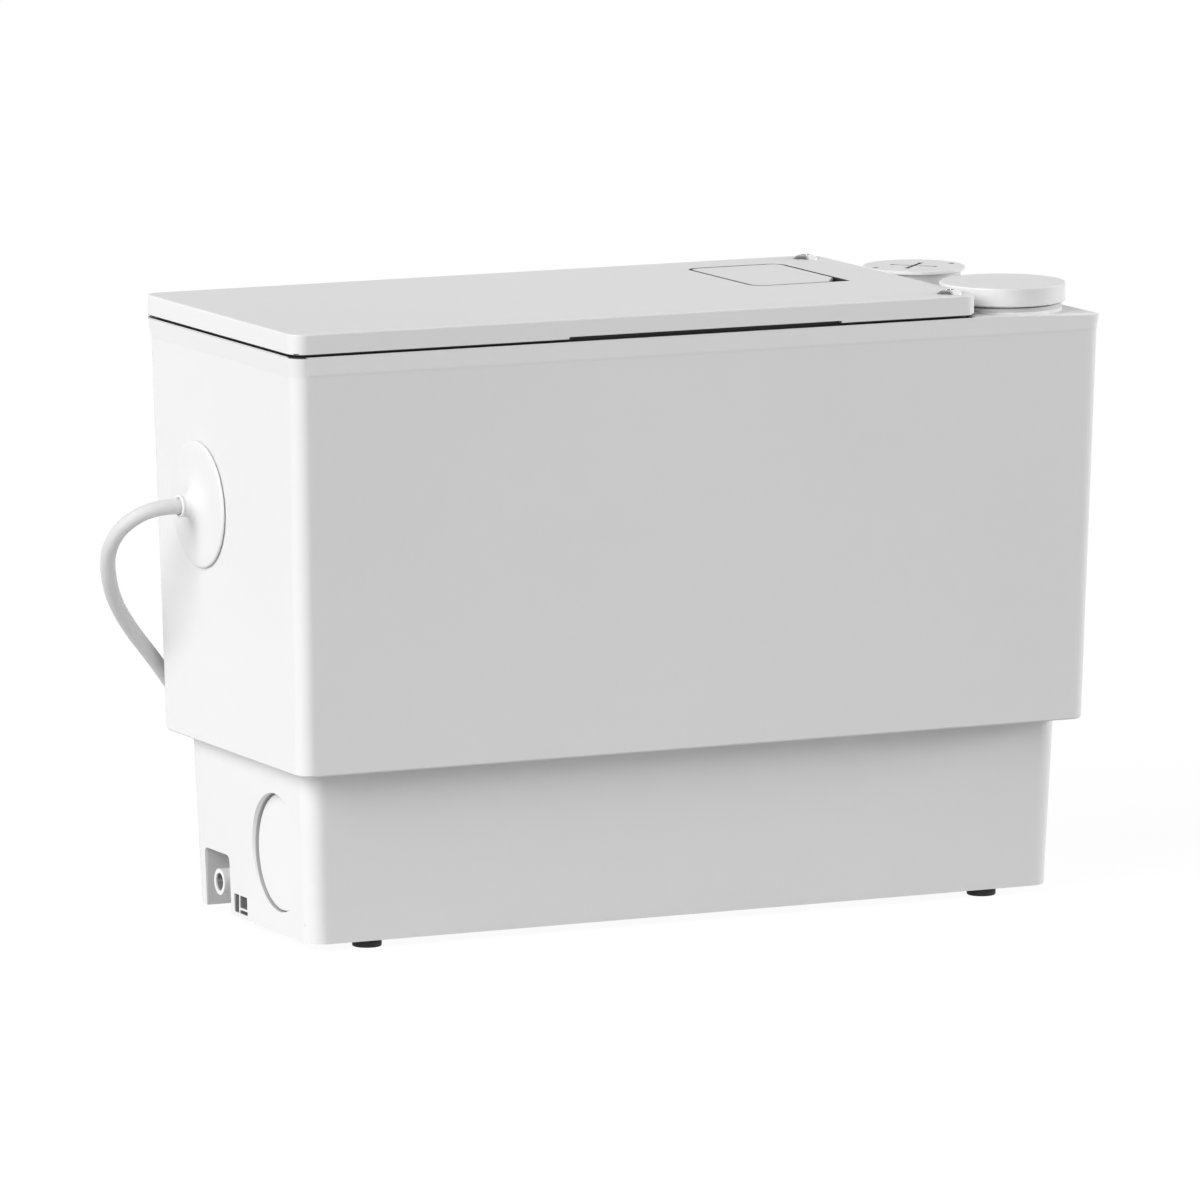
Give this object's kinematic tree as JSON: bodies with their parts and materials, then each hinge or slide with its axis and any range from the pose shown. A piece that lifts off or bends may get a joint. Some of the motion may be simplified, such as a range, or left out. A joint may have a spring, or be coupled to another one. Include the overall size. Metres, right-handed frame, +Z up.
{
  "type": "sewage lifting unit",
  "caption": "Compact box-shaped sewage lifting unit: stepped tank, flared casing, hinged flat lid, capped deck sockets, side inlet plugs and a mains lead; macerator pump inside.",
  "frame": {"origin": "on the floor under the middle of the unit, leaving out the free mains lead and its plug", "axes": "+X along the long side towards the two capped deck sockets, +Y to the back, +Z up"},
  "size_m": [0.4724, 0.3118, 0.3032],
  "materials": {
    "white_shell": "smooth satin moulded plastic",
    "grey_plastic": "moulded plastic",
    "black_rubber": "soft black rubber",
    "grey_cord": "matt grey sheath",
    "steel": "stainless steel",
    "cast_aluminium": "cast aluminium",
    "motor_iron": "varnished laminations",
    "impeller_plastic": "glass-filled plastic",
    "seal_face": "ground seal face",
    "board_green": "circuit board and terminals",
    "filter_foam": "charcoal cassette"
  },
  "bodies": {
    "base": {"tank": "white_shell", "rubber_feet": "black_rubber", "tank_gasket": "black_rubber", "tank_cover": "grey_plastic", "tank_screws": "steel", "casing": "white_shell", "housing_screws": "steel", "vent_seal": "black_rubber", "discharge_socket": "grey_plastic", "top_inlet_socket": "white_shell", "toilet_inlet_sleeve": "black_rubber", "pump_carrier": "cast_aluminium", "motor_housing": "cast_aluminium", "motor_end_cover": "cast_aluminium", "stator": "motor_iron", "lower_bearing": "steel", "upper_bearing": "steel", "shaft_seal_seat": "seal_face", "volute": "grey_plastic", "cutter_plate": "steel", "discharge_elbow": "black_rubber", "riser_grommet": "black_rubber", "non_return_valve_body": "grey_plastic", "discharge_hose": "black_rubber", "hose_clamps": "steel", "level_bell": "grey_plastic", "air_hose": "black_rubber", "level_sensor": "grey_plastic", "control_box": "grey_plastic", "control_cover": "grey_plastic", "control_board": "board_green", "capacitor": "grey_plastic", "inner_leads": "black_rubber", "cable_gland": "white_shell", "gland_nut": "grey_plastic", "mains_lead": "grey_cord", "mains_coil": "grey_cord", "mains_tail": "grey_cord", "mains_plug": "grey_cord"},
    "lid": {"lid": "white_shell", "filter_cartridge": "filter_foam"},
    "filter_hatch": {"filter_hatch": "white_shell"},
    "lid_screw_front": {"lid_screw_front": "steel"},
    "lid_screw_rear": {"lid_screw_rear": "steel"},
    "discharge_cap": {"discharge_cap": "white_shell"},
    "top_inlet_plug": {"top_inlet_plug": "white_shell", "top_inlet_seal": "black_rubber"},
    "right_inlet_plug": {"right_inlet_plug": "white_shell", "right_inlet_seal": "black_rubber"},
    "left_inlet_plug": {"left_inlet_plug": "white_shell", "left_inlet_seal": "black_rubber"},
    "right_inlet_flap": {"right_inlet_flap": "black_rubber"},
    "left_inlet_flap": {"left_inlet_flap": "black_rubber"},
    "non_return_flap": {"non_return_flap": "black_rubber"},
    "rotor": {"motor_shaft": "steel", "rotor_core": "motor_iron", "shaft_seal_ring": "seal_face", "impeller": "impeller_plastic", "cutter_knife": "steel", "cutter_nut": "steel"}
  },
  "joints": [
    {"name": "lid_hinge", "type": "hinge", "parent": "base", "child": "lid", "pos_m": [-0.2157, 0, 0.2901], "axis": [0, -1, 0], "range_deg": [0, 75]},
    {"name": "hatch_lift", "type": "slide", "parent": "lid", "child": "filter_hatch", "axis": [0, 0, 1], "range_m": [0, 0.03]},
    {"name": "front_screw_turn", "type": "hinge", "parent": "lid", "child": "lid_screw_front", "pos_m": [0.1365, -0.0783, 0.29], "axis": [0, 0, 1], "range_deg": [0, 90]},
    {"name": "rear_screw_turn", "type": "hinge", "parent": "lid", "child": "lid_screw_rear", "pos_m": [0.1365, 0.0783, 0.29], "axis": [0, 0, 1], "range_deg": [0, 90]},
    {"name": "discharge_cap_lift", "type": "slide", "parent": "base", "child": "discharge_cap", "axis": [0, 0, 1], "range_m": [0, 0.03]},
    {"name": "top_plug_turn", "type": "hinge", "parent": "base", "child": "top_inlet_plug", "pos_m": [0.178, 0.042, 0.29], "axis": [0, 0, 1], "range_deg": [0, 90]},
    {"name": "right_plug_pull", "type": "slide", "parent": "base", "child": "right_inlet_plug", "axis": [1, 0, 0], "range_m": [0, 0.03]},
    {"name": "left_plug_pull", "type": "slide", "parent": "base", "child": "left_inlet_plug", "axis": [-1, 0, 0], "range_m": [0, 0.03]},
    {"name": "right_flap_hinge", "type": "hinge", "parent": "base", "child": "right_inlet_flap", "pos_m": [0.16963, -0.032, 0.0685], "axis": [0, 1, 0], "range_deg": [0, 60]},
    {"name": "left_flap_hinge", "type": "hinge", "parent": "base", "child": "left_inlet_flap", "pos_m": [-0.16963, -0.032, 0.0685], "axis": [0, -1, 0], "range_deg": [0, 60]},
    {"name": "non_return_hinge", "type": "hinge", "parent": "base", "child": "non_return_flap", "pos_m": [0.0028, -0.029, 0.1693], "axis": [0, -1, 0], "range_deg": [0, 55]},
    {"name": "rotor_spin", "type": "hinge", "parent": "base", "child": "rotor", "pos_m": [-0.07, 0, 0.15], "axis": [0, 0, 1], "continuous": true}
  ]
}
